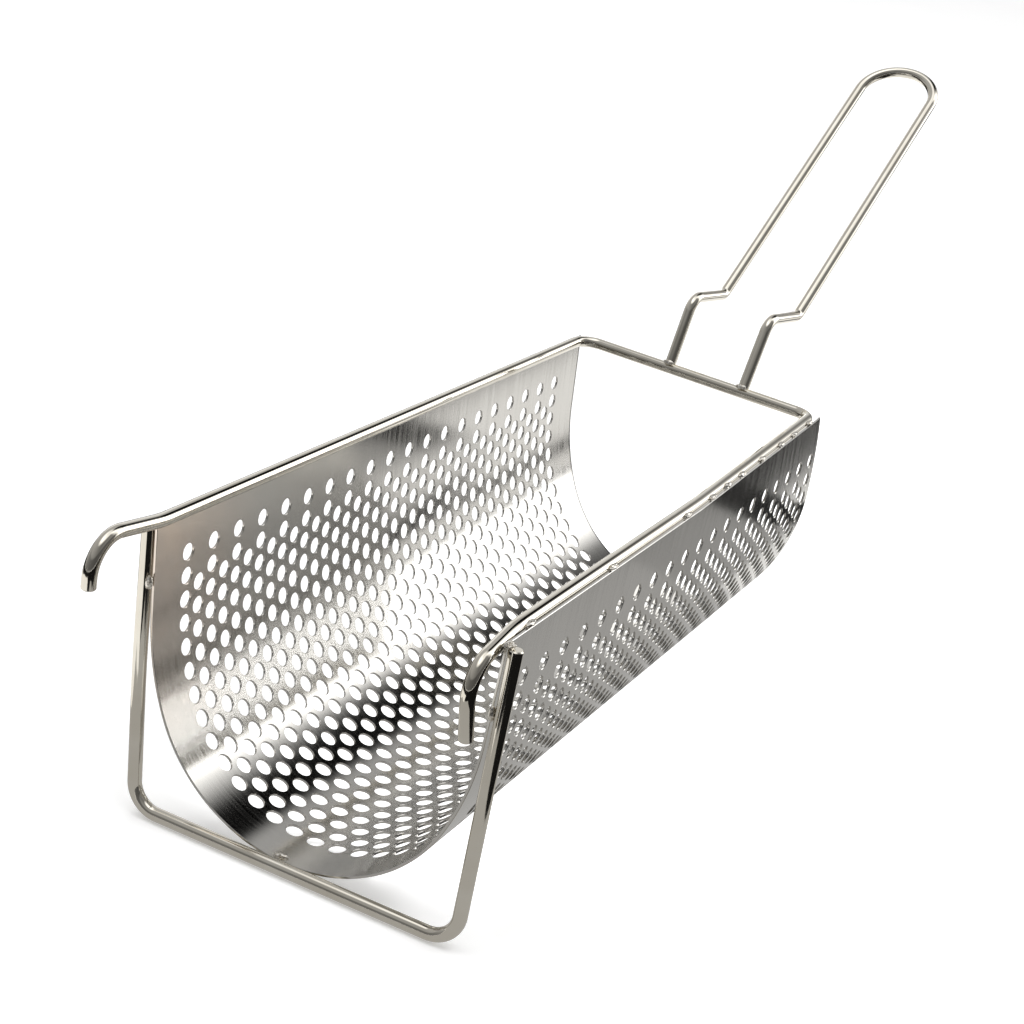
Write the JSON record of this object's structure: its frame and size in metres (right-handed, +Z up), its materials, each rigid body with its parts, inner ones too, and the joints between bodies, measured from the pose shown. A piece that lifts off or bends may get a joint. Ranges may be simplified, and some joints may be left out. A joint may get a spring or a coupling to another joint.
{
  "type": "perforated wire-framed scoop",
  "caption": "Long open trough of perforated sheet hung in a bent-wire frame, with hooks and a wire foot in front and a looped wire handle behind, for lifting and draining loose pieces.",
  "frame": {"origin": "bottom centre of the overall box, under the trough, on the surface that the base bar stands on", "axes": "+X across the trough to its right side seen from the front, +Y from the hooks and foot at the front to the handle at the back, +Z up"},
  "size_m": [0.1138, 0.4424, 0.1918],
  "materials": {
    "sheet": "satin rolled stainless sheet, faint brushing along the trough",
    "wire": "bright drawn stainless wire, polished",
    "weld": "small bright spot-weld lumps with a dark rim"
  },
  "bodies": {
    "root": {"trough_sheet": "sheet", "rim_wire": "wire", "stand_wire": "wire", "handle_wire": "wire", "weld_rim_right_1": "weld", "weld_rim_right_2": "weld", "weld_rim_right_3": "weld", "weld_rim_right_4": "weld", "weld_rim_right_5": "weld", "weld_rim_right_6": "weld", "weld_rim_right_7": "weld", "weld_rim_right_8": "weld", "weld_rim_right_9": "weld", "weld_rim_right_10": "weld", "weld_rim_left_1": "weld", "weld_rim_left_2": "weld", "weld_rim_left_3": "weld", "weld_rim_left_4": "weld", "weld_rim_left_5": "weld", "weld_rim_left_6": "weld", "weld_leg_top_right": "weld", "weld_leg_top_left": "weld", "weld_leg_side_right": "weld", "weld_leg_side_left": "weld", "weld_base_bar": "weld", "weld_handle_right": "weld", "weld_handle_left": "weld"}
  },
  "joints": []
}
